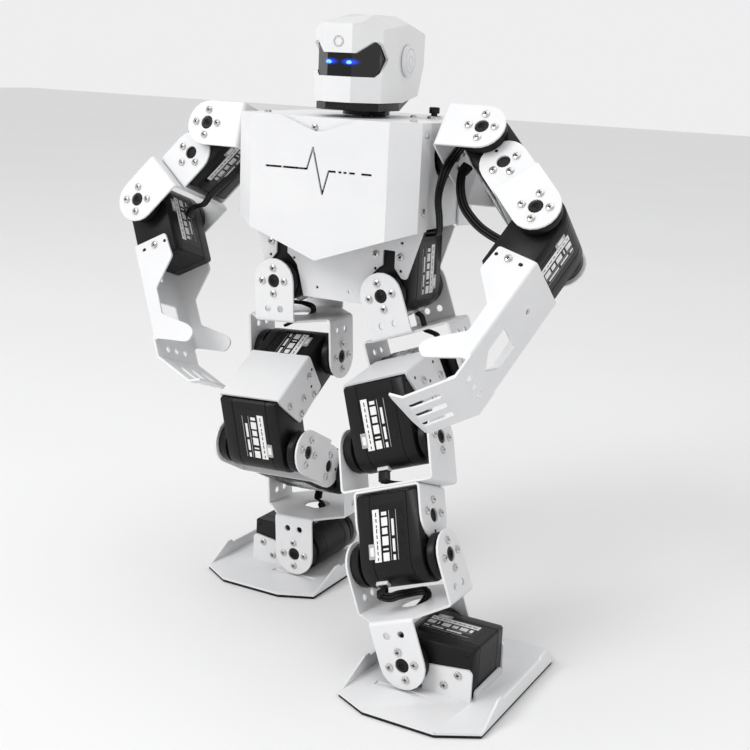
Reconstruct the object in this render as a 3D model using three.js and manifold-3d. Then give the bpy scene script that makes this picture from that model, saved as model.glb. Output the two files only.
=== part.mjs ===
// Humanoid robot kit: folded white sheet-metal brackets, black bus servos, helmet head.
// Millimetres, +Z up. The robot faces -Y and its left side is +X.
// Every moving section sits in its own group whose origin is on the joint axis,
// so the stance is set by the angles below.
import * as THREE from "three";
import { mergeVertices } from "three/addons/utils/BufferGeometryUtils.js";
import Module from "manifold-3d";

const wasm = await Module();
wasm.setup();
const { Manifold, Mesh: SolidMesh } = wasm;

// ---------------------------------------------------------------- dimensions
// servo
const SERVO_W = 24.7; // case width, also the bracket width
const SERVO_R = SERVO_W / 2; // half-round end about the horn axis
const SERVO_HALF = 18; // case half thickness along the horn axis
const SERVO_FAR = 32.85; // horn axis to the far end
const NECK_R = 7.2; // short neck under each boss, clear of the case plates
const NECK_END = 19.75;
const BOSS_R = 11.4; // round horn and idler bosses
const BOSS_END = 24.1; // boss face, from the servo middle
const MOUNT = 20; // horn axis to the case mounting hole
// sheet metal
const T = 1.2;
const EAR = 27; // outer face of a plate on the horns
const CASE_PLATE = 19.35; // outer face of a plate on the case sides
const BEND = 2.2;
const FOLD = 1.5; // tighter bend where a plate lies close on a servo
const HORN_HOLE = 3.75;
const AXIS_TO_BASE = 22.2; // horn axis to the middle of a bracket base
const LIGHT_AT = 15.4; // horn axis to the two lightening holes
const LIGHT_X = 4;
const LIGHT_R = 1.9;
// skeleton
const HIP_X = 33.3;
const KNEE_Y = 22.2;
const KNEE_Z = -55.2;
const KNEE_SERVO = 71.4; // knee servo angle in the thigh
const SHIN = 58.4;
const SHOULDER_X = 81.25;
const SHOULDER_Y = 1.5;
const SHOULDER_Z = 73.3;
const UPPER_ARM = 59.4;
const PAN_Y = 9.1;
// stance, degrees
const POSE = {
  pan: 5.3,
  left: { roll: 20.3, pitch: 81.6, knee: 60.0, shPitch: 38.4, shRoll: 44.5, elbow: 61.6 },
  right: { roll: -3.2, pitch: 60.2, knee: 122.5, shPitch: 18.7, shRoll: 37.9, elbow: 66.3 },
};
// torso origin (middle between the hip roll axes) above the floor and from the part's origin
const ORIGIN = [-6.64, 28.31, 178.091];

// ---------------------------------------------------------------- materials
const paint = (c, r, m) => () => new THREE.MeshStandardMaterial({ color: c, roughness: r, metalness: m });
const white = paint(0xe9eaec, 0.42, 0.1);
const gloss = paint(0xf4f5f7, 0.25, 0.0);
const black = paint(0x17171a, 0.5, 0.0);
const dark = paint(0x0c0d10, 0.15, 0.0);
const rubber = paint(0x1b1b1c, 0.9, 0.0);
const steel = paint(0xb9bbbe, 0.3, 0.9);
const pcb = paint(0x14301f, 0.5, 0.0);
const blueLed = paint(0x2f5bff, 0.3, 0.0);
const cell = paint(0x2c2f36, 0.6, 0.0);

// ---------------------------------------------------------------- solid helpers
const D = Math.PI / 180;
function solid(geo) {
  const g = geo.clone();
  for (const k of Object.keys(g.attributes)) if (k !== "position") g.deleteAttribute(k);
  const m = mergeVertices(g, 1e-4);
  return new Manifold(
    new SolidMesh({
      numProp: 3,
      vertProperties: new Float32Array(m.attributes.position.array),
      triVerts: new Uint32Array(m.index.array),
    }),
  );
}
function geometry(man) {
  const m = man.getMesh();
  const n = m.numProp;
  const pos = new Float32Array(m.triVerts.length * 3);
  for (let i = 0; i < m.triVerts.length; i++)
    for (let k = 0; k < 3; k++) pos[3 * i + k] = m.vertProperties[m.triVerts[i] * n + k];
  const g = new THREE.BufferGeometry();
  g.setAttribute("position", new THREE.BufferAttribute(pos, 3));
  g.computeVertexNormals();
  return g;
}
// polygon extruded along an axis. Points are (y,z) for "x", (x,z) for "y", (x,y) for "z".
function prism(axis, pts, a0, a1) {
  const shape = new THREE.Shape(pts.map(([u, v]) => new THREE.Vector2(u, v)));
  const g = new THREE.ExtrudeGeometry(shape, { depth: a1 - a0, bevelEnabled: false, steps: 1 });
  const m = new THREE.Matrix4();
  if (axis === "z") m.makeTranslation(0, 0, a0);
  if (axis === "x") m.set(0, 0, 1, a0, 1, 0, 0, 0, 0, 1, 0, 0, 0, 0, 0, 1);
  if (axis === "y") m.set(1, 0, 0, 0, 0, 0, -1, a1, 0, 1, 0, 0, 0, 0, 0, 1);
  g.applyMatrix4(m);
  return solid(g);
}
const arc = (cx, cy, r, a0, a1, n) =>
  Array.from({ length: n + 1 }, (_, i) => {
    const a = (a0 + ((a1 - a0) * i) / n) * D;
    return [cx + r * Math.cos(a), cy + r * Math.sin(a)];
  });
const disc = (axis, cx, cy, r, a0, a1, n = 20) => prism(axis, arc(cx, cy, r, 0, 360 * (1 - 1 / n), n - 1), a0, a1);
const box = (x0, x1, y0, y1, z0, z1) =>
  prism("z", [[x0, y0], [x1, y0], [x1, y1], [x0, y1]], z0, z1);
const join = (...s) => s.reduce((a, b) => a.add(b));
const cut = (s, ...t) => t.reduce((a, b) => a.subtract(b), s);
// polygon with each corner rounded by its own radius: [[u, v, r], ...]
function rounded(pts, n = 3) {
  const out = [];
  const N = pts.length;
  for (let i = 0; i < N; i++) {
    const [x, y, r = 0] = pts[i];
    if (!r) { out.push([x, y]); continue; }
    const p = new THREE.Vector2(x, y);
    const a = new THREE.Vector2(...pts[(i + N - 1) % N].slice(0, 2)).sub(p).normalize();
    const b = new THREE.Vector2(...pts[(i + 1) % N].slice(0, 2)).sub(p).normalize();
    const half = Math.acos(Math.min(1, Math.max(-1, a.dot(b)))) / 2;
    const t = r / Math.tan(half);
    const c = a.clone().add(b).normalize().multiplyScalar(r / Math.sin(half)).add(p);
    const s = a.clone().multiplyScalar(t).add(p).sub(c);
    const e = b.clone().multiplyScalar(t).add(p).sub(c);
    let a0 = Math.atan2(s.y, s.x), a1 = Math.atan2(e.y, e.x);
    while (a1 - a0 > Math.PI) a1 -= 2 * Math.PI;
    while (a1 - a0 < -Math.PI) a1 += 2 * Math.PI;
    for (let k = 0; k <= n; k++) {
      const w = a0 + ((a1 - a0) * k) / n;
      out.push([c.x + r * Math.cos(w), c.y + r * Math.sin(w)]);
    }
  }
  return out;
}
const mirrorX = (pts) => [...pts, ...pts.slice().reverse().map(([x, y, ...r]) => [-x, y, ...r])];
// removes everything on the side of the plane that n points to
function trim(s, p, n) {
  const big = 400;
  const g = new THREE.BoxGeometry(big, big, big);
  g.translate(0, 0, big / 2);
  const q = new THREE.Quaternion().setFromUnitVectors(new THREE.Vector3(0, 0, 1), new THREE.Vector3(...n).normalize());
  g.applyQuaternion(q);
  g.translate(...p);
  return s.subtract(solid(g));
}
const turned = (man, m) => {
  const g = geometry(man);
  g.applyMatrix4(m);
  return g;
};

// ---------------------------------------------------------------- assembly helpers
const robot = new THREE.Group();
function frame(parent, name, x, y, z, axis, deg) {
  const g = new THREE.Group();
  g.name = name;
  g.position.set(x, y, z);
  if (axis === "x") g.rotation.x = deg * D;
  if (axis === "y") g.rotation.y = deg * D;
  if (axis === "z") g.rotation.z = deg * D;
  parent.add(g);
  return g;
}
function put(parent, name, shape, material) {
  const m = new THREE.Mesh(shape.isBufferGeometry ? shape : geometry(shape), material());
  m.name = name;
  parent.add(m);
  return m;
}

// ---------------------------------------------------------------- servo
// horn axis along X through the origin, far end towards +Z
const servoCase = (() => {
  const c = 1;
  const profile = [
    ...arc(0, 0, SERVO_R, 180, 360, 10),
    [SERVO_R, SERVO_FAR - c], [SERVO_R - c, SERVO_FAR], [-SERVO_R + c, SERVO_FAR], [-SERVO_R, SERVO_FAR - c],
  ];
  return join(
    prism("x", profile, -SERVO_HALF, SERVO_HALF),
    disc("x", 0, 0, NECK_R, -NECK_END - 1, NECK_END + 1, 10),
    disc("x", 0, 0, BOSS_R, NECK_END, BOSS_END, 16),
    disc("x", 0, 0, BOSS_R, -BOSS_END, -NECK_END, 16),
  );
})();
const servoUp = () => geometry(servoCase);
const servoDown = () => turned(servoCase, new THREE.Matrix4().makeRotationY(Math.PI)); // far end -Z
const servoYUp = () => turned(servoCase, new THREE.Matrix4().makeRotationZ(Math.PI / 2));
const servoYDown = () =>
  turned(servoCase, new THREE.Matrix4().makeRotationZ(Math.PI / 2).multiply(new THREE.Matrix4().makeRotationY(Math.PI)));

// ---------------------------------------------------------------- folded channel
// U section across `axis`, base towards the lower values, mirrored when down
function channel(axis, half, w, base, top, down) {
  const r = BEND, ri = BEND - T;
  const out = [
    [-half, top], ...arc(-half + r, base + r, r, 180, 270, 3), ...arc(half - r, base + r, r, 270, 360, 3), [half, top],
    [half - T, top], ...arc(half - r, base + r, ri, 360, 270, 3), ...arc(-half + r, base + r, ri, 270, 180, 3), [-half + T, top],
  ].map(([u, v]) => [u, down ? -v : v]);
  return prism(axis === "x" ? "y" : "x", out, -w / 2, w / 2);
}
// outline of a plate that ends in a half circle about the axis height z0
function earOutline(w, zb, z0) {
  const up = z0 > zb;
  return up
    ? [[-w / 2, zb], [w / 2, zb], ...arc(0, z0, w / 2, 0, 180, 11)]
    : [[w / 2, zb], [-w / 2, zb], ...arc(0, z0, w / 2, 180, 360, 11)];
}
// bracket of two plates held by one base: plates reach the axis at height z0, base outer face at zb
function uBracket(axis, half, zb, z0, holeR, extra = []) {
  const down = z0 < zb;
  const u = down
    ? channel(axis, half, SERVO_W, -zb, -z0 + SERVO_R, true)
    : channel(axis, half, SERVO_W, zb, z0 + SERVO_R, false);
  const s = u.intersect(prism(axis, earOutline(SERVO_W, zb, z0), -half - 1, half + 1));
  return cut(s, disc(axis, 0, z0, holeR, -half - 1, half + 1, 14), ...extra);
}

// cross bracket between two crossed horn axes: plates up on the Y axis, plates down on the X axis
const crossBracket = (() => {
  const zb = -AXIS_TO_BASE - T / 2, zt = -AXIS_TO_BASE + T / 2, z2 = -2 * AXIS_TO_BASE;
  const up = uBracket("y", EAR, zb, 0, HORN_HOLE);
  const down = uBracket("x", EAR, zt, z2, HORN_HOLE);
  const e = EAR - BEND, h = SERVO_R;
  const web = prism("z", [[e, -h], [e, h], [h, e], [-h, e], [-e, h], [-e, -h], [-h, -e], [h, -e]], zb, zt);
  let s = join(up, down, web);
  s = cut(s, disc("z", 0, 0, 7.4, zb - 1, zt + 1, 20));
  for (const k of [-1, 1]) {
    s = cut(s, disc("y", k * LIGHT_X, -LIGHT_AT, LIGHT_R, -EAR - 1, EAR + 1, 10));
    s = cut(s, disc("x", k * LIGHT_X, z2 + LIGHT_AT, LIGHT_R, -EAR - 1, EAR + 1, 10));
  }
  return s;
})();
const CROSS = 2 * AXIS_TO_BASE;

// thigh cover: folded web over the label side with two side flanges
const THIGH_WEB = [-17.3, -54.2];
const thighBracket = (() => {
  const y0 = -SERVO_R - 0.3 - T, half = CASE_PLATE, r = FOLD, ri = FOLD - T, y1 = 14;
  const section = [
    [-half, y1], ...arc(-half + r, y0 + r, r, 180, 270, 4), ...arc(half - r, y0 + r, r, 270, 360, 4), [half, y1],
    [half - T, y1], ...arc(half - r, y0 + r, ri, 360, 270, 4), ...arc(-half + r, y0 + r, ri, 270, 180, 4), [-half + T, y1],
  ];
  const side = rounded([
    [y0 - 1, THIGH_WEB[0]], [8.6, THIGH_WEB[0] + 0.4, 1.2], [9.6, -20.4, 1], [11.4, -44.4, 1.5], [-9.5, -53.4], [y0 - 1, THIGH_WEB[1]],
  ]);
  return prism("z", section, -60, -10).intersect(prism("x", side, -30, 30));
})();

// ---------------------------------------------------------------- torso
const torso = frame(robot, "torso", ...ORIGIN);

// chest cover: flat front, two bevels and short side flanges, V bottom, V notch at the top
{
  const o = [[54.3, -20], [54.3, -30.1], [40.9, -39.9], [-40.9, -39.9], [-54.3, -30.1], [-54.3, -20]];
  const i = [[-53.1, -20], [-53.1, -29.5], [-40.5, -38.7], [40.5, -38.7], [53.1, -29.5], [53.1, -20]];
  let s = prism("z", [...o, ...i], 12, 89.8);
  const rise = 0.345, apex = 16.4;
  s = cut(s, prism("y", [[-60, apex + 60 * rise], [0, apex], [60, apex + 60 * rise], [60, 0], [-60, 0]], -50, 0));
  s = cut(s, prism("y", rounded([[-23.1, 92], [-23.1, 89.8], [0, 81.8, 14], [23.1, 89.8], [23.1, 92]]), -50, -30));
  // pulse-line slots
  const slot = (x0, z0, x1, z1, w = 1.1) => {
    const l = Math.hypot(x1 - x0, z1 - z0), nx = (-(z1 - z0) / l) * w / 2, nz = ((x1 - x0) / l) * w / 2;
    const ex = ((x1 - x0) / l) * 0.35, ez = ((z1 - z0) / l) * 0.35;
    return prism("y", [[x0 - ex + nx, z0 - ez + nz], [x0 - ex - nx, z0 - ez - nz], [x1 + ex - nx, z1 + ez - nz], [x1 + ex + nx, z1 + ez + nz]], -42, -37);
  };
  s = cut(
    s,
    slot(-31.2, 63.2, -21.9, 63.3), slot(-20.6, 63.3, -6.2, 63.4),
    slot(-6.2, 63.4, -2.8, 74.4), slot(-2.8, 74.4, 3.4, 51.2), slot(3.4, 51.2, 6.9, 63.1), slot(6.9, 63.1, 10.8, 63.1),
    slot(12.9, 63.1, 14.2, 63.1), slot(15.9, 63.1, 17.2, 63.1), slot(19.2, 63.1, 22.0, 63.1), slot(26.3, 63.1, 31.7, 63.1),
  );
  put(torso, "chest_cover", s, white);
}
// inner frame: top plate, two side plates, front rail seen through the notch
{
  const top = prism("z", [[-52.6, 34], [-45.6, 38.5], [45.6, 38.5], [52.6, 34], [52.6, -28.9], [40.2, -38.1], [-40.2, -38.1], [-52.6, -28.9]], 88.4, 89.6);
  const rail = box(-36, 36, -38.1, -36.9, 72, 89);
  let s = join(top, rail);
  for (const k of [-1, 1]) {
    const a = k > 0 ? 51.4 : -52.6;
    s = join(s, prism("x", rounded([[-27, 89], [-27, 45], [-23, 35.5], [33, 35.5], [33, 89]]), a, a + T));
  }
  s = cut(s, disc("x", SHOULDER_Y, SHOULDER_Z, 13.2, -60, 60, 24), disc("z", 0, PAN_Y, 6.4, 80, 95, 20));
  s = cut(s, disc("z", 31.3, 28.6, 2.3, 85, 95, 14));
  put(torso, "body_frame", s, white);
}
// back cover
{
  const o = [[54.3, 18.5], [54.3, 34.4], [46.4, 40.2], [-46.4, 40.2], [-54.3, 34.4], [-54.3, 18.5]];
  const i = [[-53.1, 18.5], [-53.1, 33.8], [-46, 39], [46, 39], [53.1, 33.8], [53.1, 18.5]];
  let s = prism("z", [...o, ...i], 31, 89.6);
  s = cut(s, prism("x", [[10, 34.9], [18, 34.9], [42, 33.2], [42, 20], [10, 20]], -60, 60));
  for (let n = 0; n < 5; n++) s = cut(s, prism("y", rounded([[-16, 70 - n * 5, 0.9], [16, 70 - n * 5, 0.9], [16, 72 - n * 5, 0.9], [-16, 72 - n * 5, 0.9]], 3), 36, 44));
  put(torso, "back_cover", s, white);
}
// pelvis plates in front of and behind the hip roll servos
{
  const half = [
    [51.0, 60], [51.0, 34.6], [52.2, 34.2], [43.9, 8.6, 1.6], [40.8, 9.4, 1], [36.7, 14.4], [36.7, 23.3, 0.8], [29.6, 23.3, 0.8], [29.6, 15.2],
    [26.9, 13.2], [23.4, 9.6], [21.6, 4], [18.6, -7.4, 0.8],
  ];
  const outline = rounded(mirrorX(half));
  for (const [name, y] of [["front_pelvis_plate", -CASE_PLATE], ["rear_pelvis_plate", CASE_PLATE - T]]) {
    let s = prism("y", outline, y, y + T);
    for (const x of [-10, 10]) s = cut(s, disc("y", x, -1.6, 0.9, y - 1, y + 3, 10));
    for (const [x, z] of [[40.4, 13], [25.3, 12.9], [40.4, 27.8]])
      for (const k of [-1, 1]) s = cut(s, disc("y", k * x, z, 0.9, y - 1, y + 3, 10));
    put(torso, name, s, white);
  }
}
for (const [side, k] of [["left", 1], ["right", -1]]) {
  const hip = put(torso, `${side}_hip_roll_servo`, servoYUp(), black);
  hip.position.set(k * HIP_X, 0, 0);
  const sh = put(torso, `${side}_shoulder_pitch_servo`, servoDown(), black);
  sh.position.set(k * 32.9, SHOULDER_Y, SHOULDER_Z);
}
// head servo: small servo with its shaft up through the top plate
put(
  torso, "head_servo",
  join(box(-5.9, 5.9, PAN_Y - 6, PAN_Y + 17, 66, 87.2), disc("z", 0, PAN_Y, 5.6, 86, 88.2, 18), disc("z", 0, PAN_Y, 2.6, 88, 89.8, 12)),
  black,
);
put(
  torso, "controller_board",
  join(box(-37, 37, -31, -29.4, 41, 83), box(-10, 6, -33, -30.9, 56, 70), box(14, 30, -34, -30.9, 48, 56), box(-30, -20, -35, -30.9, 46, 78), box(16, 30, -33.5, -30.9, 66, 76)),
  pcb,
);
put(torso, "battery_pack", prism("x", rounded([[21, 38, 2], [37, 38, 2], [37, 61, 2], [21, 61, 2]]), -34, 34), cell);
put(torso, "button_collar", cut(disc("z", 31.3, 28.6, 4.1, 89.8, 91.2, 20), disc("z", 31.3, 28.6, 2.2, 89, 92, 14)), steel);
{
  const b = frame(torso, "power_button", 31.3, 28.6, 92.6);
  put(b, "power_button_cap", join(disc("z", 0, 0, 2.9, -0.2, 3.2, 20), disc("z", 0, 0, 1.8, -3.0, 0, 14)), black);
}

// ---------------------------------------------------------------- head
const head = frame(torso, "head_pan", 0, PAN_Y, 0, "z", POSE.pan);
// faceted helmet solid, every face moved inwards by o (the floor stays open when asked)
function helmet(o, open) {
  let s = box(-40, 40, -60, 60, 60, 180);
  const faces = [
    [[0, -38, 0], [0, -1, 0]], [[0, 0, 142], [0, 0, 1]],
    [[0, -38, 136.4], [0, -5.6, 29]], [[0, 14, 142], [0, 8.5, 19.8]],
    [[0, 34.2, 0], [0, 1, 0]], [[0, 34.2, 122.5], [0, 22.1, -9.4]],
  ];
  for (const k of [-1, 1])
    faces.push(
      [[k * 7.5, -38, 0], [k * 12.5, -11.8, 0]], [[k * 19.3, 0, 0], [k, 0, 0]],
      [[k * 10.7, -38, 136.7], [k * 161.6, -38.7, 332.9]], [[k * 19.3, 9.1, 138], [k * 120, 46.4, 252.4]],
      [[k * 19.3, 32, 0], [k * 1, 1, 0]],
    );
  if (!open) faces.push([[0, 0, 97.4], [0, 0, -1]], [[0, 2.4, 97.2], [0, 3.7, -22.5]]);
  for (const [p, n] of faces) {
    const v = new THREE.Vector3(...n).normalize();
    s = trim(s, [p[0] - v.x * o, p[1] - v.y * o, p[2] - v.z * o], n);
  }
  return s;
}
{
  const window_ = prism("y", [[-22, 110.3], [22, 110.3], [22, 127.8], [15.4, 127.8], [8.8, 122], [-8.8, 122], [-15.4, 127.8], [-22, 127.8]], -45, 20)
    .intersect(prism("x", [[-45, 110.3], [-27, 110.3], [-17.6, 119.5], [-26.8, 127.9], [-45, 127.9]], -30, 30));
  const shell = cut(helmet(0, false), helmet(1.6, true), window_);
  put(head, "head_shell", shell, gloss);
  const band = cut(helmet(1.9, true), helmet(3.2, true)).intersect(
    prism("x", [[-45, 106.5], [-24, 106.5], [-13.5, 119.5], [-24, 130.5], [-45, 130.5]], -30, 30),
  );
  put(head, "visor", band, dark);
  const plan = mirrorX([[7, -36.4], [17.8, -24.9], [17.8, 2], [14.5, 24.6]]);
  const base = prism("z", plan, 88, 106).intersect(
    prism("x", [[-36.6, 97.0], [-36.0, 94.2], [-33, 93.2], [4, 93.0], [24.4, 98.4], [24.4, 100.2], [2.3, 96.8]], -30, 30),
  );
  put(head, "head_base", join(base, disc("z", 0, 0, 12.7, 90.4, 94, 28)), black);
  for (const [side, k] of [["left", 1], ["right", -1]]) {
    const rim = (r0, r1, a0, a1) => {
      const g = new THREE.CylinderGeometry(r1, r0, a1 - a0, 28);
      g.rotateZ(-Math.PI / 2);
      g.translate((a0 + a1) / 2, 0, 0);
      return solid(g);
    };
    let cap = join(rim(8.4, 8.4, 0, 1.2), rim(8.4, 7.4, 1.1, 2.1));
    const g = geometry(cap);
    if (k < 0) g.rotateY(Math.PI);
    const m = put(head, `${side}_ear_cap`, g, gloss);
    m.position.set(k * 19.6, 7.4, 119.2);
    const eye = put(head, `${side}_eye`, disc("y", 0, 0, 1.5, -0.5, 0, 16), blueLed);
    eye.position.set(k * 5.6, -36.3, 117.4);
  }
}

// ---------------------------------------------------------------- arms
for (const [side, k] of [["left", 1], ["right", -1]]) {
  const a = POSE[side];
  const sp = frame(torso, `${side}_shoulder_pitch`, k * SHOULDER_X, SHOULDER_Y, SHOULDER_Z, "x", -a.shPitch);
  // shoulder bracket: base against the pitch horn, plates on the roll horns
  {
    const zb = -AXIS_TO_BASE - T / 2;
    let u = uBracket("y", EAR, zb, 0, HORN_HOLE);
    u = cut(u, disc("z", 0, 0, HORN_HOLE, zb - 1, zb + 3, 18));
    const g = geometry(u);
    g.rotateY(k > 0 ? Math.PI / 2 : -Math.PI / 2); // base towards the body
    put(sp, `${side}_shoulder_bracket`, g, white);
  }
  const sr = frame(sp, `${side}_shoulder_roll`, 0, 0, 0, "y", -k * a.shRoll);
  put(sr, `${side}_shoulder_roll_servo`, servoYDown(), black);
  {
    const zb = -UPPER_ARM + AXIS_TO_BASE; // middle of the lower base
    let c = uBracket("y", CASE_PLATE, zb + T / 2 + 0.1, -MOUNT, 3.6);
    c = cut(c, disc("z", 0, 0, 6, zb - 2, zb + 4, 20));
    put(sr, `${side}_upper_arm_case_bracket`, c, white);
    let h = uBracket("y", EAR, zb + T / 2, -UPPER_ARM, HORN_HOLE);
    h = cut(h, disc("z", 0, 0, 6, zb - 2, zb + 4, 20));
    put(sr, `${side}_upper_arm_horn_bracket`, h, white);
  }
  const el = frame(sr, `${side}_elbow`, 0, 0, -UPPER_ARM, "y", k * a.elbow);
  put(el, `${side}_elbow_servo`, servoYDown(), black);
  // hand: web outside the servo, flanges front and back ending in rounded thumb tabs, bent palm with finger slots
  {
    const x0 = SERVO_R + 0.3, x1 = x0 + T, half = CASE_PLATE, r = FOLD, ri = FOLD - T, xi = -11;
    const section = [
      [xi, -half], ...arc(x1 - r, -half + r, r, 270, 360, 4), ...arc(x1 - r, half - r, r, 0, 90, 4), [xi, half],
      [xi, half - T], ...arc(x1 - r, half - r, ri, 90, 0, 4), ...arc(x1 - r, -half + r, ri, 360, 270, 4), [xi, -half + T],
    ];
    const body = prism("z", [...section.map(([x, y]) => [x < -10 ? -16 : x, y])], -80.4, -22.2);
    const flange = rounded([
      [20, -22.2], [-8.4, -22.2, 1.5], [-9.6, -36.5, 3], [4.8, -50.5, 2], [4.8, -66.2, 2], [-9.2, -77.4, 3.5], [-13.6, -83.2, 3.5],
      [-7.2, -87.4, 4], [10.6, -78.9], [20, -78.9],
    ]);
    let s = body.intersect(prism("y", flange, -30, 30));
    // tabs reach a little below the flange section
    const tab = rounded([[4.8, -66.2], [-9.2, -77.4, 3.5], [-13.6, -83.2, 3.5], [-7.2, -87.4, 4], [9.4, -79.4], [9.4, -66.2]]);
    s = join(s, prism("y", tab, -half, -half + T), prism("y", tab, half - T, half));
    // web and palm: folded strip
    const PB = -88.8, PY = 39 * D, L1 = 26, L2 = 7.4, PY2 = 77 * D;
    const p1 = [x1, PB];
    const p2 = [p1[0] - L1 * Math.sin(PY), p1[1] - L1 * Math.cos(PY)];
    const p3 = [p2[0] - L2 * Math.sin(PY2), p2[1] - L2 * Math.cos(PY2)];
    const off = (p, q, d) => { const l = Math.hypot(q[0] - p[0], q[1] - p[1]); return [(-(q[1] - p[1]) / l) * d, ((q[0] - p[0]) / l) * d]; };
    const inner = (a0, b0, c0) => { // inner mitre point of the bend at b0
      const n1 = off(a0, b0, -T), n2 = off(b0, c0, -T);
      const m = [n1[0] + n2[0], n1[1] + n2[1]];
      const s2 = (T * T * 2) / (m[0] * m[0] + m[1] * m[1]);
      return [b0[0] + m[0] * s2, b0[1] + m[1] * s2];
    };
    const q1 = inner([x1, -60], p1, p2), q2 = inner(p1, p2, p3);
    const n3 = off(p2, p3, -T);
    const strip = [[x1, -76], p1, p2, p3, [p3[0] + n3[0], p3[1] + n3[1]], q2, q1, [x0, -76]];
    let web = prism("y", strip, -half, half);
    // fingertip edge runs back towards the rear
    web = cut(web, prism("z", [[-40, half + 5], [p2[0] - 1.6, half + 5], [p2[0] - 2.6, half - 1], [p2[0] - 5.2, 8], [p3[0] - 0.6, -half - 2], [-40, -half - 2]], -115, -105.2));
    s = join(s, web);
    // openings in the web
    const pent = [[-9, -54], [9, -54], [9, -67.4], [0, -74.3], [-9, -67.4]];
    s = cut(s, prism("x", pent, x0 - 2, x1 + 2), disc("x", 0, -38.8, 1.6, x0 - 2, x1 + 2, 12));
    for (const y of [-8.2, 0, 8.2]) s = cut(s, disc("x", y, -83, 1.9, x0 - 2, x1 + 2, 12));
    for (const x of [-6.9, 7.6]) s = cut(s, disc("y", x, -26.5, 0.95, -half - 1, half + 1, 10));
    // finger slots: cut across the palm and the second bend
    for (const y of [-9.6, 0, 9.6]) {
      const sl = prism("z", rounded([[p2[0] - 1.6, y - 2.1, 1.8], [p1[0] - 6.6, y - 2.1, 0.6], [p1[0] - 6.6, y + 2.1, 0.6], [p2[0] - 1.6, y + 2.1, 1.8]], 4), -125, -90.5);
      s = cut(s, sl);
    }
    const g = geometry(s);
    if (k < 0) {
      // mirrored hand: mirror the triangles as well
      const pos = g.attributes.position;
      for (let n = 0; n < pos.count; n++) pos.setX(n, -pos.getX(n));
      for (let n = 0; n < pos.count; n += 3)
        for (let c = 0; c < 3; c++) {
          const t = pos.array[3 * (n + 1) + c];
          pos.array[3 * (n + 1) + c] = pos.array[3 * (n + 2) + c];
          pos.array[3 * (n + 2) + c] = t;
        }
      g.computeVertexNormals();
    }
    put(el, `${side}_hand`, g, white);
  }
}

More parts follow.
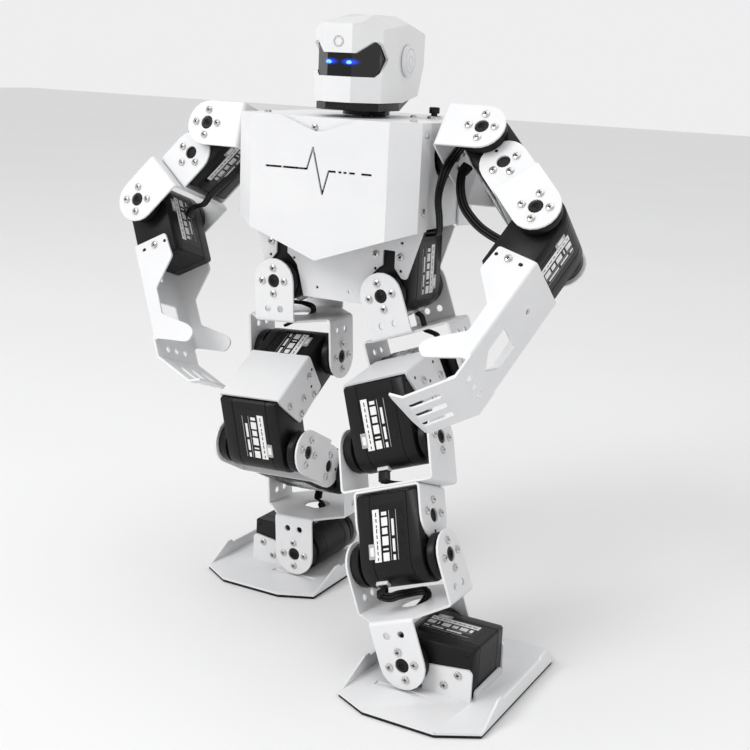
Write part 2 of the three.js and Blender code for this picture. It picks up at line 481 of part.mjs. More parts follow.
// ---------------------------------------------------------------- legs
for (const [side, k] of [["left", 1], ["right", -1]]) {
  const a = POSE[side];
  const hip = frame(torso, `${side}_hip_roll`, k * HIP_X, 0, 0, "y", -k * a.roll);
  put(hip, `${side}_hip_bracket`, crossBracket, white);
  const thigh = frame(hip, `${side}_hip_pitch`, 0, 0, -CROSS, "x", -a.pitch);
  put(thigh, `${side}_hip_pitch_servo`, servoDown(), black);
  put(thigh, `${side}_thigh_cover`, thighBracket, white);
  const ks = put(thigh, `${side}_knee_servo`, servoUp(), black);
  ks.position.set(0, KNEE_Y, KNEE_Z);
  ks.rotation.x = KNEE_SERVO * D;
  const shin = frame(thigh, `${side}_knee`, 0, KNEE_Y, KNEE_Z, "x", a.knee);
  {
    const zm = -AXIS_TO_BASE;
    const slot = prism("z", rounded([[-7, -4, 1], [7, -4, 1], [7, 6, 1], [-7, 6, 1]]), zm - 4, zm + 2);
    put(shin, `${side}_knee_bracket`, uBracket("x", EAR, zm - T / 2, 0, HORN_HOLE, [slot]), white);
    put(shin, `${side}_shin_bracket`, uBracket("x", CASE_PLATE, zm - T / 2 - 0.1, -SHIN + MOUNT, 3.6, [slot]), white);
  }
  const sv = put(shin, `${side}_ankle_pitch_servo`, servoUp(), black);
  sv.position.set(0, 0, -SHIN);
  const ankle = frame(shin, `${side}_ankle_pitch`, 0, 0, -SHIN, "x", -(a.knee - a.pitch));
  // cross bracket turned so that its X plates point up and its Y plates point down
  {
    const g = geometry(crossBracket);
    g.rotateZ(Math.PI / 2);
    put(ankle, `${side}_ankle_bracket`, g, white);
  }
  const foot = frame(ankle, `${side}_ankle_roll`, 0, 0, -CROSS, "y", k * a.roll);
  {
    // servo on its side, far end outwards, horns front and back
    const g = geometry(servoCase);
    g.rotateZ(Math.PI / 2);
    g.rotateY((k * Math.PI) / 2);
    put(foot, `${side}_ankle_roll_servo`, g, black);
  }
  const top = -SERVO_R - 0.45, bot = top - T;
  const mir = (pts) => (k > 0 ? pts : pts.map(([x, y, ...r]) => [-x, y, ...r]).reverse());
  const OUT = 50, IN = -25, FRONT = -53.6, BACK = 55;
  const plan = mir([
    [IN, -44.5], [-6.4, FRONT, 3], [31, FRONT, 3], [OUT, -42.2], [OUT, 47, 3], [OUT - 7, BACK, 3], [IN + 7, BACK, 3], [IN, 47, 3],
  ]);
  let s = prism("z", rounded(plan), bot, top);
  // raised side walls leaning slightly outwards
  const wallO = [[-42, bot], [-24, top + 8.5, 1], [-20, top + 8.5, 1], [-18.5, top + 6.6], [28, top + 6.6], [29.5, top + 8.5, 1], [37, top + 8.5, 1.5], [46.5, top + 1], [46.5, bot]];
  const wallI = [[-44.2, bot], [-20, top + 8.5, 1], [-16, top + 8.5, 1], [-14.5, top + 6.6], [20, top + 6.6], [21.5, top + 8.5, 1], [36, top + 8.5, 1.5], [46.5, top + 1], [46.5, bot]];
  const xo = k > 0 ? [OUT - T, OUT] : [-OUT, -OUT + T];
  const xin = k > 0 ? [IN, IN + T] : [-IN - T, -IN];
  s = join(s, prism("x", rounded(wallO), ...xo), prism("x", rounded(wallI), ...xin));
  // upright lugs on the servo case: front, rear and outer end
  const lug = (k > 0 ? (p) => p : (p) => p.map(([x, z, ...r]) => [-x, z, ...r]).reverse())([
    [7.6, top - 0.6], [33.4, top - 0.6], [33.4, 1.6, 2], [31.6, 3.2, 1.2], [9.4, 0.6, 1.6], [7.6, -3],
  ]);
  s = join(s, prism("y", rounded(lug), -CASE_PLATE, -CASE_PLATE + T), prism("y", rounded(lug), CASE_PLATE - T, CASE_PLATE));
  const ex = k > 0 ? [SERVO_FAR + 0.45, SERVO_FAR + 0.45 + T] : [-SERVO_FAR - 0.45 - T, -SERVO_FAR - 0.45];
  s = join(s, prism("x", rounded([[-15.5, top - 0.6], [15.5, top - 0.6], [15.5, -8.6, 1.5], [-15.5, -8.6, 1.5]]), ...ex));
  // opening under the horn plates so that they can swing
  for (const y of [-EAR - 1.3, EAR - T - 1.3 + 0.1]) s = cut(s, box(-14, 14, y, y + T + 2.5, -SERVO_R - 3, -SERVO_R + 3).intersect(box(-14, 14, y, y + T + 2.5, top - 0.7, 0)));
  put(foot, `${side}_foot_plate`, s, white);
  const pad = mir([
    [IN + 0.4, -44.0], [-6.4, FRONT + 0.5, 3], [31, FRONT + 0.5, 3], [OUT - 0.4, -41.8], [OUT - 0.4, 46.6, 3], [OUT - 7.2, BACK - 0.5, 3], [IN + 7.2, BACK - 0.5, 3], [IN + 0.4, 46.6, 3],
  ]);
  put(foot, `${side}_sole_pad`, prism("z", rounded(pad), bot - 1.7, bot - 0.1), rubber);
}

// ---------------------------------------------------------------- servo leads
// three-wire leads, each held at both ends; points in the frame of the group that carries it
const LEAD_R = 1.7;
function lead(parent, name, pts, steps) {
  const path = new THREE.CatmullRomCurve3(pts.map((p) => new THREE.Vector3(...p)), false, "centripetal");
  const section = new THREE.Shape(Array.from({ length: 8 }, (_, i) => new THREE.Vector2(LEAD_R * Math.cos((i * Math.PI) / 4), LEAD_R * Math.sin((i * Math.PI) / 4))));
  const g = new THREE.ExtrudeGeometry(section, { steps, extrudePath: path, bevelEnabled: false });
  put(parent, name, solid(g), rubber);
}
const part = (name) => robot.getObjectByName(name);
lead(torso, "left_shoulder_lead", [
  [64.6, -1.5, 80.5], [63.6, -9.5, 75.0], [62.4, -16.2, 68.6], [61.2, -20.4, 60.0], [60.2, -20.2, 51.5], [59.0, -15.0, 41.5], [56.0, -9.0, 33.6], [48.4, -5.0, 31.4],
], 16);
for (const [side, k] of [["left", 1], ["right", -1]]) {
  // the elbow servo's end of the lead, seen from the upper arm
  const e = (k * POSE[side].elbow) * D;
  const at = (x, y, z) => [x * Math.cos(e) + z * Math.sin(e), y, -UPPER_ARM - x * Math.sin(e) + z * Math.cos(e)];
  const pts = k > 0
    ? [[-14.4, 0, 5.5], [-18.6, 0, 3.5], [-23.6, 0, -5], [-26.6, 0, -15], [-26.6, 0, -25], [-24.8, 0, -35], at(-20.5, 0, -11.5), at(-14.6, 0, -8.5)]
    : [[14.4, 0, 4], [17.2, 0, -2], [18.2, -1, -10], [17.6, -2, -20], [16.6, -2, -30], [17.0, -1, -38], at(19.4, 0, -5.5), at(14.6, 0, -9)];
  lead(part(`${side}_shoulder_roll`), `${side}_elbow_lead`, pts, 16);
  // ankle: out of the servo end, a small loop, down through the hole of the ankle bracket
  const b = (POSE[side].pitch - POSE[side].knee) * D;
  const an = (x, y, z) => [x, y * Math.cos(b) - z * Math.sin(b), -SHIN + y * Math.sin(b) + z * Math.cos(b)];
  lead(part(`${side}_knee`), `${side}_ankle_lead`, [
    an(-3, -14.6 * Math.sin(b / 2), -14.6 * Math.cos(b / 2)), an(2.6, -16.4 * Math.sin(b / 4), -16.8 * Math.cos(b / 4)),
    an(4.4, 1.5, -20.6), an(2.2, 2.6, -24.2), an(-1.5, 1.2, -27.0), an(-6.5, 0, -28.4),
  ], 14);
}

export default robot;
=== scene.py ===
# Humanoid robot kit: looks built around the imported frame.
import bpy, math
from mathutils import Matrix, Vector


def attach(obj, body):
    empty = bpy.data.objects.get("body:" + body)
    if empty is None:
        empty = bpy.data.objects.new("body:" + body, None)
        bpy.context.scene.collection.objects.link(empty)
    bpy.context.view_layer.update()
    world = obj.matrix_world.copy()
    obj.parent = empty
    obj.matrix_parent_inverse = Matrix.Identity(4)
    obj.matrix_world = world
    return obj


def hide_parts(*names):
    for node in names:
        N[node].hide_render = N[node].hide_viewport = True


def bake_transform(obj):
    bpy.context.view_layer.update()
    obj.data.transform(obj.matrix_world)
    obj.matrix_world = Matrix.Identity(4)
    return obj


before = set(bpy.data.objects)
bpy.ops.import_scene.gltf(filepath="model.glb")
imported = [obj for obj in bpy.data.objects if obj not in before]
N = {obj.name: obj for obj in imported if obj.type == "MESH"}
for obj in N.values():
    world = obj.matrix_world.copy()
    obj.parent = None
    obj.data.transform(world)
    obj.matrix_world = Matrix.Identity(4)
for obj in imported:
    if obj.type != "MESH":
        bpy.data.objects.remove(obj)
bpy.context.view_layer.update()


SC = bpy.context.scene
MM = 0.001

# ------------------------------------------------------------------ skeleton, millimetres, same as the CAD
ORIGIN = (-6.64, 28.31, 178.091)
POSE = {
    "pan": 5.3,
    "left": dict(roll=20.3, pitch=81.6, knee=60.0, sp=38.4, sr=44.5, el=61.6),
    "right": dict(roll=-3.2, pitch=60.2, knee=122.5, sp=18.7, sr=37.9, el=66.3),
}


def Tr(x, y, z):
    return Matrix.Translation((x, y, z))


def Ro(axis, deg):
    return Matrix.Rotation(math.radians(deg), 4, axis.upper())


TOR = Tr(*ORIGIN)
HEAD = TOR @ Tr(0, 9.1, 0) @ Ro("z", POSE["pan"])
F = {"torso": TOR, "head": HEAD}
SERVO = {}
DOWN = Ro("y", 180)
YUP = Ro("z", 90)
YDOWN = Ro("z", 90) @ Ro("y", 180)
for side, k in (("left", 1), ("right", -1)):
    a = POSE[side]
    F[side + "_shoulder"] = TOR @ Tr(k * 81.25, 1.5, 73.3) @ Ro("x", -a["sp"])
    F[side + "_upper_arm"] = F[side + "_shoulder"] @ Ro("y", -k * a["sr"])
    F[side + "_forearm"] = F[side + "_upper_arm"] @ Tr(0, 0, -59.4) @ Ro("y", k * a["el"])
    F[side + "_hip"] = TOR @ Tr(k * 33.3, 0, 0) @ Ro("y", -k * a["roll"])
    F[side + "_thigh"] = F[side + "_hip"] @ Tr(0, 0, -44.4) @ Ro("x", -a["pitch"])
    F[side + "_shin"] = F[side + "_thigh"] @ Tr(0, 22.2, -55.2) @ Ro("x", a["knee"])
    F[side + "_ankle"] = F[side + "_shin"] @ Tr(0, 0, -58.4) @ Ro("x", a["pitch"] - a["knee"])
    F[side + "_foot"] = F[side + "_ankle"] @ Tr(0, 0, -44.4) @ Ro("y", k * a["roll"])
    SERVO[side + "_hip_roll_servo"] = ("torso", TOR @ Tr(k * 33.3, 0, 0) @ YUP)
    SERVO[side + "_shoulder_pitch_servo"] = ("torso", TOR @ Tr(k * 32.9, 1.5, 73.3) @ DOWN)
    SERVO[side + "_shoulder_roll_servo"] = (side + "_upper_arm", F[side + "_upper_arm"] @ YDOWN)
    SERVO[side + "_elbow_servo"] = (side + "_forearm", F[side + "_forearm"] @ YDOWN)
    SERVO[side + "_hip_pitch_servo"] = (side + "_thigh", F[side + "_thigh"] @ DOWN)
    SERVO[side + "_knee_servo"] = (side + "_thigh", F[side + "_thigh"] @ Tr(0, 22.2, -55.2) @ Ro("x", 71.4))
    SERVO[side + "_ankle_pitch_servo"] = (side + "_shin", F[side + "_shin"] @ Tr(0, 0, -58.4))
    SERVO[side + "_ankle_roll_servo"] = (side + "_foot", F[side + "_foot"] @ Ro("y", k * 90) @ Ro("z", 90))


# ------------------------------------------------------------------ camera
def photo_camera():
    az, el, roll, dist = (math.radians(28.35), math.radians(14.17), math.radians(2.61), 694.85)
    target = Vector((17.34, 0.54, -50.32)) + Vector(ORIGIN)
    back = Vector((math.sin(az) * math.cos(el), -math.cos(az) * math.cos(el), math.sin(el)))
    right = Vector((math.cos(az), math.sin(az), 0))
    up = back.cross(right)
    R = right * math.cos(roll) + up * math.sin(roll)
    U = up * math.cos(roll) - right * math.sin(roll)
    C = (target + back * dist) * MM
    cam = bpy.data.cameras.new("camera")
    cam.sensor_width = 36.0
    cam.lens = 1252.07 / 750 * 36.0
    cam.clip_start = 0.01
    cam.clip_end = 20
    o = bpy.data.objects.new("camera", cam)
    m = Matrix.Identity(4)
    for i, v in enumerate((R, U, back)):
        for j in range(3):
            m[j][i] = v[j]
    o.matrix_world = Matrix.Translation(C) @ m
    SC.collection.objects.link(o)
    SC.camera = o
    return o


CAM = photo_camera()


# ------------------------------------------------------------------ materials
def material(name, color, rough, metal=0.0, coat=0.0, coat_rough=0.1, spec=0.5, ior=1.5):
    m = bpy.data.materials.new(name)
    m.use_nodes = True
    nt = m.node_tree
    b = nt.nodes["Principled BSDF"]
    b.inputs["Base Color"].default_value = (*color, 1)
    b.inputs["Roughness"].default_value = rough
    b.inputs["Metallic"].default_value = metal
    b.inputs["Coat Weight"].default_value = coat
    b.inputs["Coat Roughness"].default_value = coat_rough
    b.inputs["IOR"].default_value = ior
    b.inputs["Specular IOR Level"].default_value = spec
    return m, nt, b


def coords(nt):
    return nt.nodes.new("ShaderNodeTexCoord").outputs["Object"]


def noise(nt, vec, scale, detail=3.0, rough=0.55, stretch=None):
    if stretch:
        mp = nt.nodes.new("ShaderNodeMapping")
        mp.inputs["Scale"].default_value = stretch
        nt.links.new(vec, mp.inputs["Vector"])
        vec = mp.outputs["Vector"]
    n = nt.nodes.new("ShaderNodeTexNoise")
    n.inputs["Scale"].default_value = scale
    n.inputs["Detail"].default_value = detail
    n.inputs["Roughness"].default_value = rough
    nt.links.new(vec, n.inputs["Vector"])
    return n.outputs["Fac"]


def ramp(nt, fac, a, b, lo, hi):
    """fac from a..b mapped to lo..hi."""
    r = nt.nodes.new("ShaderNodeMapRange")
    r.inputs["From Min"].default_value = a
    r.inputs["From Max"].default_value = b
    r.inputs["To Min"].default_value = lo
    r.inputs["To Max"].default_value = hi
    nt.links.new(fac, r.inputs["Value"])
    return r.outputs["Result"]


def mix(nt, fac, c1, c2):
    m = nt.nodes.new("ShaderNodeMix")
    m.data_type = "RGBA"
    if hasattr(fac, "is_linked") or hasattr(fac, "links"):
        nt.links.new(fac, m.inputs["Factor"])
    else:
        m.inputs["Factor"].default_value = fac
    for c, s in ((c1, m.inputs[6]), (c2, m.inputs[7])):
        if isinstance(c, tuple):
            s.default_value = (*c, 1)
        else:
            nt.links.new(c, s)
    return m.outputs[2]


def bump(nt, b, height, strength, dist):
    n = nt.nodes.new("ShaderNodeBump")
    n.inputs["Strength"].default_value = strength
    n.inputs["Distance"].default_value = dist
    nt.links.new(height, n.inputs["Height"])
    nt.links.new(n.outputs["Normal"], b.inputs["Normal"])


def powder_white():
    m, nt, b = material("white_powder_coat", (0.75, 0.752, 0.76), 0.4, spec=0.4)
    v = coords(nt)
    big = noise(nt, v, 26, 2)
    fine = noise(nt, v, 950, 3, 0.6)
    speck = noise(nt, v, 260, 1)
    col = mix(nt, ramp(nt, big, 0.35, 0.65, 0, 1), (0.735, 0.738, 0.748), (0.77, 0.772, 0.776))
    dust = ramp(nt, speck, 0.72, 0.8, 0.0, 0.08)
    nt.links.new(mix(nt, dust, col, (0.60, 0.59, 0.58)), b.inputs["Base Color"])
    nt.links.new(ramp(nt, big, 0.3, 0.7, 0.33, 0.46), b.inputs["Roughness"])
    bump(nt, b, fine, 0.16, 0.00012)
    return m


def gloss_white():
    m, nt, b = material("helmet_white", (0.77, 0.772, 0.777), 0.16, coat=0.5, coat_rough=0.06)
    v = coords(nt)
    big = noise(nt, v, 40, 2)
    nt.links.new(mix(nt, ramp(nt, big, 0.35, 0.65, 0, 1), (0.755, 0.758, 0.765), (0.785, 0.787, 0.79)), b.inputs["Base Color"])
    nt.links.new(ramp(nt, big, 0.3, 0.7, 0.12, 0.22), b.inputs["Roughness"])
    bump(nt, b, noise(nt, v, 120, 2), 0.05, 0.0002)
    return m


def black_plastic(name, base, r0, r1, grain=900, depth=0.00012, strength=0.35):
    m, nt, b = material(name, base, r0, spec=0.22)
    v = coords(nt)
    g = noise(nt, v, grain, 4, 0.7)
    big = noise(nt, v, 60, 3)
    lighter = tuple(c * 1.7 + 0.001 for c in base)
    nt.links.new(mix(nt, ramp(nt, big, 0.3, 0.75, 0, 1), base, lighter), b.inputs["Base Color"])
    nt.links.new(ramp(nt, g, 0.3, 0.7, r0, r1), b.inputs["Roughness"])
    bump(nt, b, g, strength, depth)
    return m


def steel():
    m, nt, b = material("screw_steel", (0.62, 0.61, 0.59), 0.25, metal=1.0)
    v = coords(nt)
    g = noise(nt, v, 700, 3)
    nt.links.new(mix(nt, ramp(nt, g, 0.35, 0.65, 0, 1), (0.5, 0.49, 0.47), (0.72, 0.71, 0.69)), b.inputs["Base Color"])
    nt.links.new(ramp(nt, g, 0.3, 0.7, 0.18, 0.38), b.inputs["Roughness"])
    return m


def visor_black():
    m, nt, b = material("visor_black", (0.0028, 0.003, 0.004), 0.06, coat=0.12, coat_rough=0.03, spec=0.25)
    v = coords(nt)
    nt.links.new(ramp(nt, noise(nt, v, 90, 2), 0.3, 0.7, 0.05, 0.11), b.inputs["Roughness"])
    # blue light of the two lamps spilling over the visor
    total = None
    for x in (-5.6, 5.6):
        c = (HEAD @ Vector((x, -36.3, 117.6))) * MM
        sub = nt.nodes.new("ShaderNodeVectorMath"); sub.operation = "SUBTRACT"
        nt.links.new(v, sub.inputs[0]); sub.inputs[1].default_value = c
        rot = nt.nodes.new("ShaderNodeVectorRotate"); rot.rotation_type = "Z_AXIS"
        rot.inputs["Angle"].default_value = -math.radians(POSE["pan"])
        nt.links.new(sub.outputs[0], rot.inputs["Vector"])
        mul = nt.nodes.new("ShaderNodeVectorMath"); mul.operation = "MULTIPLY"
        mul.inputs[1].default_value = (180, 110, 520)
        nt.links.new(rot.outputs[0], mul.inputs[0])
        ln = nt.nodes.new("ShaderNodeVectorMath"); ln.operation = "LENGTH"
        nt.links.new(mul.outputs[0], ln.inputs[0])
        e = nt.nodes.new("ShaderNodeMapRange"); e.interpolation_type = "SMOOTHERSTEP"
        e.inputs["From Min"].default_value = 0.0; e.inputs["From Max"].default_value = 1.15
        e.inputs["To Min"].default_value = 1.0; e.inputs["To Max"].default_value = 0.0
        nt.links.new(ln.outputs["Value"], e.inputs["Value"])
        if total is None:
            total = e.outputs["Result"]
        else:
            ad = nt.nodes.new("ShaderNodeMath"); ad.operation = "ADD"
            nt.links.new(total, ad.inputs[0]); nt.links.new(e.outputs["Result"], ad.inputs[1])
            total = ad.outputs[0]
    nt.links.new(mix(nt, total, (0, 0, 0), (0.01, 0.06, 1.0)), b.inputs["Emission Color"])
    b.inputs["Emission Strength"].default_value = 1.3
    return m


def lamp_blue():
    m, nt, b = material("eye_blue", (0.1, 0.3, 1.0), 0.2)
    v = coords(nt)
    nt.links.new(mix(nt, ramp(nt, noise(nt, v, 900, 1), 0.35, 0.65, 0, 1), (0.02, 0.12, 1.0), (0.12, 0.34, 1.0)), b.inputs["Emission Color"])
    b.inputs["Emission Strength"].default_value = 2.6
    return m


def simple(name, c1, c2, r0, r1, scale=300, strength=0.2, depth=0.0001, metal=0.0, stretch=None, spec=0.5):
    m, nt, b = material(name, c1, r0, metal=metal, spec=spec)
    v = coords(nt)
    g = noise(nt, v, scale, 3, stretch=stretch)
    nt.links.new(mix(nt, ramp(nt, g, 0.35, 0.65, 0, 1), c1, c2), b.inputs["Base Color"])
    nt.links.new(ramp(nt, g, 0.3, 0.7, r0, r1), b.inputs["Roughness"])
    bump(nt, b, g, strength, depth)
    return m


WHITE = powder_white()
HELMET = gloss_white()
SERVO_BLACK = black_plastic("servo_black", (0.0042, 0.0042, 0.0046), 0.3, 0.44)
HORN_BLACK = black_plastic("horn_black", (0.0055, 0.0055, 0.006), 0.3, 0.44, 500)
BASE_BLACK = black_plastic("head_base_black", (0.0045, 0.0045, 0.005), 0.22, 0.36, 700)
SOLE = black_plastic("sole_rubber", (0.010, 0.010, 0.010), 0.72, 0.9, 600, 0.0003, 0.6)
WIRE = black_plastic("wire_black", (0.005, 0.005, 0.0052), 0.32, 0.44, 220, 0.00008, 0.2)
LABEL = simple("label_black", (0.004, 0.004, 0.0045), (0.006, 0.006, 0.0065), 0.2, 0.3, 400, 0.1, spec=0.25)
PRINT = simple("label_print", (0.74, 0.74, 0.73), (0.82, 0.82, 0.81), 0.35, 0.45, 600, 0.1)
PRINT_GREY = simple("label_grey", (0.33, 0.33, 0.33), (0.46, 0.46, 0.46), 0.35, 0.5, 1500, 0.1)
SOCKET = simple("connector_nylon", (0.66, 0.65, 0.61), (0.74, 0.73, 0.7), 0.4, 0.55, 500, 0.2)
STEEL = steel()
VISOR = visor_black()
EYE = lamp_blue()
# near-black material for painted shade: the insides of open holes and the cross recesses of screw heads
PAINTED_SHADE = simple("painted_shade_in_holes_and_recesses", (0.004, 0.004, 0.004), (0.008, 0.008, 0.008), 0.7, 0.9, 400)
PCB = simple("solder_mask", (0.008, 0.045, 0.02), (0.012, 0.06, 0.026), 0.25, 0.4, 500)
WRAP = simple("battery_film", (0.012, 0.02, 0.06), (0.02, 0.03, 0.08), 0.2, 0.35, 120)
COLLAR = simple("collar_nickel", (0.55, 0.54, 0.52), (0.68, 0.67, 0.65), 0.2, 0.34, 800, 0.1, metal=1.0)


# ------------------------------------------------------------------ mesh building, millimetres
class Build:
    def __init__(self, name, body, mats):
        self.name, self.body, self.mats = name, body, mats
        self.v, self.f, self.m, self.s = [], [], [], []

    def add(self, verts, faces, M=None, mat=0, smooth=True):
        o = len(self.v)
        M = M or Matrix.Identity(4)
        self.v += [tuple((M @ Vector(p)) * MM) for p in verts]
        if M.to_3x3().determinant() < 0:
            faces = [tuple(reversed(f)) for f in faces]
        self.f += [tuple(i + o for i in f) for f in faces]
        self.m += list(mat) if isinstance(mat, list) else [mat] * len(faces)
        self.s += [smooth] * len(faces)

    def done(self, ride=True, angle=40):
        me = bpy.data.meshes.new(self.name)
        me.from_pydata(self.v, [], self.f)
        for mt in self.mats:
            me.materials.append(mt)
        me.polygons.foreach_set("material_index", self.m)
        me.polygons.foreach_set("use_smooth", self.s)
        me.update()
        me.set_sharp_from_angle(angle=math.radians(angle))
        ob = bpy.data.objects.new(self.name, me)
        SC.collection.objects.link(ob)
        if ride:
            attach(ob, self.body)
        return ob


def loft(rings, cap=True, closed=True):
    """rings: lists of points, all the same length."""
    n = len(rings[0])
    v = [p for r in rings for p in r]
    f = []
    for i in range(len(rings) - 1):
        for j in range(n if closed else n - 1):
            a, b = i * n + j, i * n + (j + 1) % n
            f.append((a, b, b + n, a + n))
    if cap:
        f.append(tuple(reversed(range(n))))
        f.append(tuple(range((len(rings) - 1) * n, len(rings) * n)))
    return v, f


def lathe(profile, seg=48):
    """profile (r, x) along the x axis, from one end to the other; r = 0 closes."""
    rings = []
    for r, x in profile:
        rings.append([(x, max(r, 1e-4) * math.cos(2 * math.pi * j / seg), max(r, 1e-4) * math.sin(2 * math.pi * j / seg)) for j in range(seg)])
    return loft(rings)


def inset(poly, d):
    """convex polygon (u, v), counter-clockwise, moved inwards by d."""
    n, out = len(poly), []
    for i in range(n):
        p0, p1, p2 = Vector(poly[i - 1]), Vector(poly[i]), Vector(poly[(i + 1) % n])
        e1, e2 = (p1 - p0).normalized(), (p2 - p1).normalized()
        n1, n2 = Vector((-e1.y, e1.x)), Vector((-e2.y, e2.x))
        m = n1 + n2
        out.append(tuple(p1 + m * (d * 2 / m.length_squared)))
    return out


def slab(poly, a0, a1, b=0.15, axis="y"):
    """plate of outline poly with small bevels; (x, z) for axis y, (y, z) for x, (x, y) for z."""
    def place(p, w):
        return {"x": (w, p[0], p[1]), "y": (p[0], -w, p[1]), "z": (p[0], p[1], w)}[axis]
    if axis == "y":
        a0, a1 = -a1, -a0
    area = sum(poly[i - 1][0] * poly[i][1] - poly[i][0] * poly[i - 1][1] for i in range(len(poly)))
    if area < 0:
        poly = list(reversed(poly))
    i1 = inset(poly, b)
    rings = [[place(p, a0) for p in i1], [place(p, a0 + b) for p in poly], [place(p, a1 - b) for p in poly], [place(p, a1) for p in i1]]
    return loft(rings)


def rect(x0, x1, z0, z1, r=0.0, n=4):
    if not r:
        return [(x0, z0), (x1, z0), (x1, z1), (x0, z1)]
    out = []
    for cx, cz, a in ((x1 - r, z0 + r, -90), (x1 - r, z1 - r, 0), (x0 + r, z1 - r, 90), (x0 + r, z0 + r, 180)):
        out += [(cx + r * math.cos(math.radians(a + 90 * i / n)), cz + r * math.sin(math.radians(a + 90 * i / n))) for i in range(n + 1)]
    return out


def screw_mesh(r=1.95, h=1.25, seg=32):
    rs = [0.0, 0.22, 0.45, 0.7, 0.95, 1.05, 1.25, 1.6, r - 0.08, r, r]
    v, f = [], []
    for i, q in enumerate(rs):
        for j in range(seg):
            t = 2 * math.pi * j / seg
            x, y = q * math.cos(t), q * math.sin(t)
            z = h * (1 - 0.42 * (q / r) ** 2.4)
            if q == r:
                z = 0.35 if i == len(rs) - 2 else 0.0
            if q <= 0.95 and min(abs(x), abs(y)) < 0.27:
                z -= 0.62 * (1 - 0.35 * q)
            v.append((x, y, z))
    for i in range(len(rs) - 1):
        for j in range(seg):
            a, b = i * seg + j, i * seg + (j + 1) % seg
            f.append((a, a + seg, b + seg, b))
    f.append(tuple(reversed(range((len(rs) - 1) * seg, len(rs) * seg))))
    f.append(tuple(range(seg)))
    # faces down in the cross recess are given the near-black material: painted shade in the recess
    low = [0.97 > rs[i // seg] and min(abs(v[i][0]), abs(v[i][1])) < 0.27 for i in range(len(v))]
    recess_shade = [1 if all(low[i] for i in q) else 0 for q in f]
    return v, f, recess_shade


SCREW_V, SCREW_F, SCREW_RECESS_SHADE = screw_mesh()
SCREW = (SCREW_V, SCREW_F)
SCREWS = {}


def screw(body, M, p, n, turn=0.0, scale=1.0):
    """screw head seated at p with outward normal n, both in frame M."""
    q = Vector((0, 0, 1)).rotation_difference(Vector(n).normalized()).to_matrix().to_4x4()
    X = M @ Tr(*p) @ q @ Matrix.Rotation(math.radians(turn), 4, "Z") @ Matrix.Scale(scale, 4)
    SCREWS.setdefault(body, []).append(X)


def dots(body):
    if body not in DOTS:
        DOTS[body] = Build("painted_hole_shade_" + body, body, [PAINTED_SHADE])
    return DOTS[body]


DOTS = {}


def dot(body, M, p, n, r=0.9):
    q = Vector((1, 0, 0)).rotation_difference(Vector(n).normalized()).to_matrix().to_4x4()
    # near-black disc laid on the surface in place of an open hole: painted shade of the hole's inside
    v, f = lathe([(0, -0.3), (r, -0.3), (r, 0.012), (r * 0.7, 0.02), (0, 0.02)], 16)
    dots(body).add(v, f, M @ Tr(*p) @ q)


# ------------------------------------------------------------------ servos
R, FAR = 12.35, 32.85


def case_profile():
    n = 28
    pts = [(R * math.cos(math.radians(180 + 180 * i / n)), R * math.sin(math.radians(180 + 180 * i / n))) for i in range(n + 1)]
    pts += [(R, FAR - 1), (R - 1, FAR), (-R + 1, FAR), (-R, FAR - 1)]
    return pts


CASE = case_profile()
# (x, inset) along the case: bevelled ends and the two joint lines of its three shells
STATIONS = [(-18, 0.7), (-17.75, 0.28), (-17.3, 0), (-10.35, 0), (-10.2, 0.28), (-9.9, 0.28), (-9.75, 0), (11.05, 0), (11.2, 0.28), (11.5, 0.28), (11.65, 0), (17.3, 0), (17.75, 0.28), (18, 0.7)]


